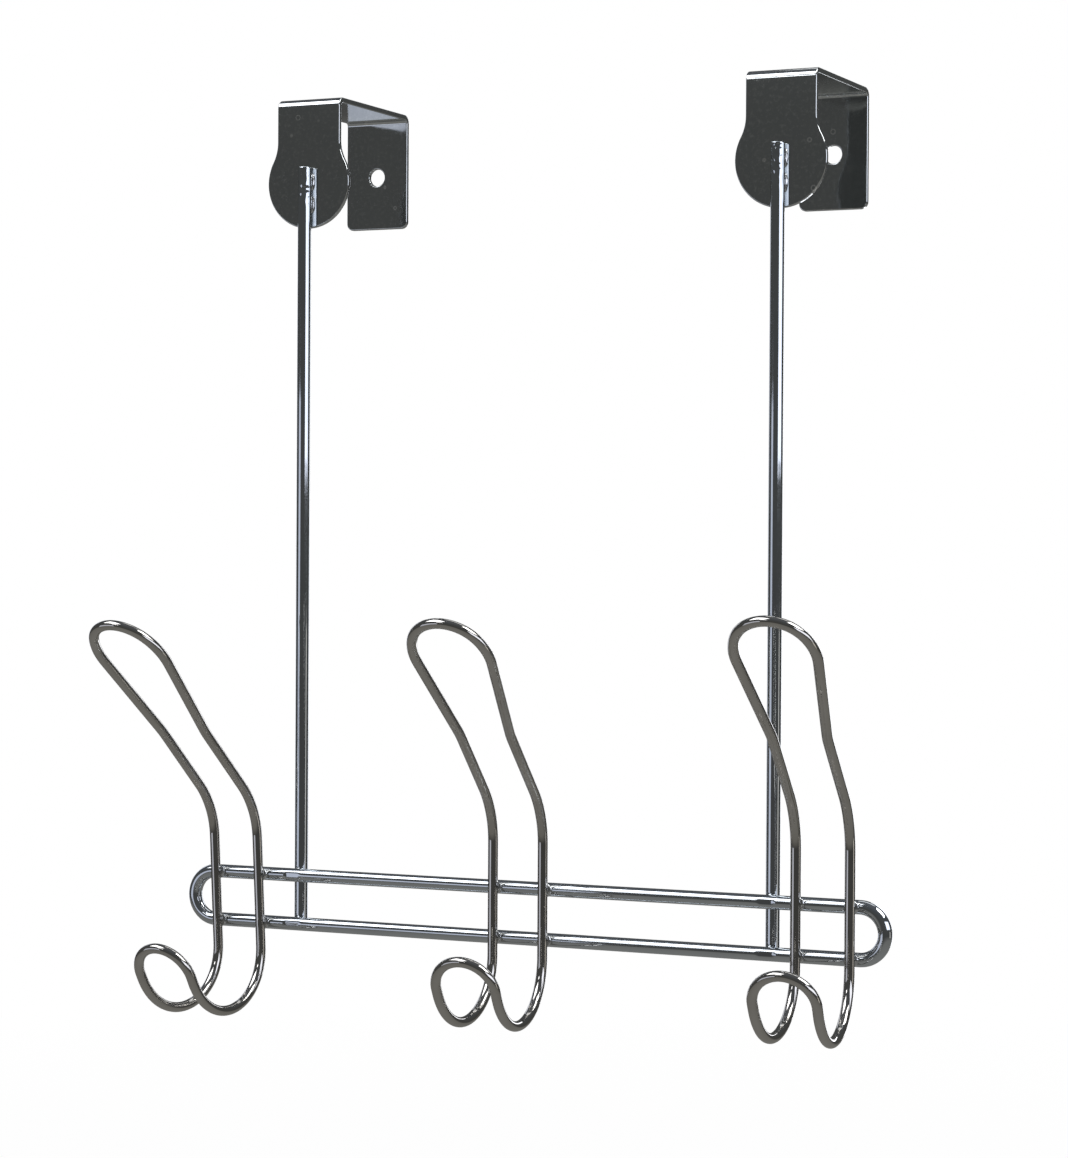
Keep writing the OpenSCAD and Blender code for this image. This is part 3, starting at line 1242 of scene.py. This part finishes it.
def direction(azimuth: float, elevation: float) -> Vector:
    """Turns two angles into a direction away from the object.

    Args:
        azimuth: Degrees to the right of straight out into the room.
        elevation: Degrees above level.

    Returns:
        The unit vector.
    """
    a, e = math.radians(azimuth), math.radians(elevation)
    return Vector((math.sin(a) * math.cos(e), -math.cos(a) * math.cos(e), math.sin(e)))


@dataclass
class Studio:
    """Pale floor, soft boxes, surroundings and the camera."""

    centre: Vector = field(default_factory=lambda: Vector((0, -0.045, -0.11)))
    floor_z: float = -0.42
    floor_radius: float = 6.0
    floor_sides: int = 96
    fade_span: tuple[float, float] = (0.1, 1.2)
    fade_start: float = 0.94
    azimuth: float = 25.0
    pitch: float = 0.70
    roll: float = 0.33
    distance: float = 0.856
    lens: float = 96.4
    shift_x: float = 0.0088
    shift_y: float = 0.0056
    target: Vector = field(default_factory=lambda: Vector((-0.00293, -0.042, -0.12009)))

    def build(self) -> None:
        """Builds the whole studio."""
        self._world()
        self._floor()
        for box in SOFT_BOXES:
            self._light(box)
        self._camera()
        bpy.context.scene.view_settings.view_transform = "Standard"

    def _world(self) -> None:
        """A dim room for the chrome to mirror, and a plain pale backdrop behind the object."""
        world = bpy.data.worlds.new("dim_room")
        bpy.context.scene.world = world
        world.use_nodes = True
        tree = world.node_tree
        tree.nodes.clear()
        outward = add_node(tree, "ShaderNodeTexCoord").outputs["Generated"]
        up = add_node(tree, "ShaderNodeSeparateXYZ", inputs={0: outward}).outputs["Z"]
        height = remap(tree, up, (-1.0, 1.0), (0.0, 1.0))
        shade = add_node(tree, "ShaderNodeValToRGB", inputs={"Fac": height})
        ramp = shade.color_ramp
        ramp.elements[0].color = linear(ROOM_SHADES[0][1])
        ramp.elements[1].color = linear(ROOM_SHADES[-1][1])
        for position, colour in ROOM_SHADES[1:-1]:
            ramp.elements.new(position).color = linear(colour)
        room = add_node(tree, "ShaderNodeBackground", inputs={
            "Color": shade.outputs["Color"], "Strength": 1.0})
        pale = add_node(tree, "ShaderNodeBackground", inputs={
            "Color": WHITE, "Strength": 1.0})
        seen = add_node(tree, "ShaderNodeLightPath").outputs["Is Camera Ray"]
        both = add_node(tree, "ShaderNodeMixShader", inputs={
            0: seen, 1: room.outputs[0], 2: pale.outputs[0]})
        add_node(tree, "ShaderNodeOutputWorld", inputs={"Surface": both.outputs[0]})

    def _floor(self) -> None:
        """A wide pale disc well below the hanging object, fading into the backdrop."""
        shape = bmesh.new()
        bmesh.ops.create_circle(shape, cap_ends=True, segments=self.floor_sides,
                                radius=self.floor_radius,
                                matrix=Matrix.Translation((0, 0, self.floor_z)))
        mesh = bpy.data.meshes.new("pale_floor")
        shape.to_mesh(mesh)
        shape.free()
        floor = mesh_object("pale_floor", mesh)
        material = bpy.data.materials.new("pale_floor_paint")
        material.use_nodes = True
        tree = material.node_tree
        tree.nodes.clear()
        place = add_node(tree, "ShaderNodeTexCoord").outputs["Object"]
        flat = add_node(tree, "ShaderNodeVectorMath", {"operation": "MULTIPLY"}, {
            0: place, 1: (1.0, 1.0, 0.0)})
        reach = add_node(tree, "ShaderNodeVectorMath", {"operation": "LENGTH"}, {
            0: flat.outputs[0]})
        fade = remap(tree, reach.outputs["Value"], self.fade_span, (self.fade_start, 1.0))
        paint = add_node(tree, "ShaderNodeBsdfDiffuse", inputs={"Color": linear("F4F4F4")})
        glow = add_node(tree, "ShaderNodeEmission", inputs={
            "Color": WHITE, "Strength": 1.0})
        both = add_node(tree, "ShaderNodeMixShader", inputs={
            0: fade, 1: paint.outputs[0], 2: glow.outputs[0]})
        add_node(tree, "ShaderNodeOutputMaterial", inputs={"Surface": both.outputs[0]})
        mesh.materials.append(material)
        floor.visible_glossy = False

    def _light(self, box: SoftBox) -> None:
        """Places one soft box, facing the object's middle.

        Args:
            box: The soft box.
        """
        back = direction(box.azimuth, box.elevation)
        light = bpy.data.lights.new(box.name, "AREA")
        light.shape = "RECTANGLE"
        light.size = box.width
        light.size_y = box.height
        light.energy = box.brightness * math.pi * box.width * box.height
        light.color = linear(box.colour)[:3]
        made = bpy.data.objects.new(box.name, light)
        made.location = self.centre + back * box.distance
        made.rotation_euler = back.to_track_quat("Z", "Y").to_euler()
        bpy.context.scene.collection.objects.link(made)

    def _camera(self) -> None:
        """Sets the camera a little to the right of the object, level with the hooks' arms."""
        back = direction(self.azimuth, self.pitch)
        camera = bpy.data.objects.new("studio_camera", bpy.data.cameras.new("studio_camera"))
        camera.data.lens = self.lens
        camera.data.shift_x = self.shift_x
        camera.data.shift_y = self.shift_y
        camera.location = self.target + back * self.distance
        level = back.to_track_quat("Z", "Y").to_matrix()
        tilt = Euler((0, 0, math.radians(self.roll))).to_matrix()
        camera.rotation_euler = (level @ tilt).to_euler()
        bpy.context.scene.collection.objects.link(camera)
        bpy.context.scene.camera = camera


# ------------------------------------------------------------------ assembly


def main() -> None:
    """Builds every piece in order around the CAD frame, then the studio."""
    logging.basicConfig(level=logging.INFO, format="%(name)s: %(message)s")
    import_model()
    strip, rod, hook, weld = (
        finish.build() for finish in (STRIP_CHROME, ROD_CHROME, HOOK_CHROME, WELD_CHROME))
    wires = WireSweep()
    for side in OUTER:
        StripBracket(side, strip).build()
        UprightRod(side, rod).build()
    WireRail(rod, wires).build()
    hooks = {side: DoubleHook(side, hook, wires) for side in Side}
    for made in hooks.values():
        made.build()
    Welds(weld, hooks).build()
    Studio().build()


if __name__ == "__main__":
    main()
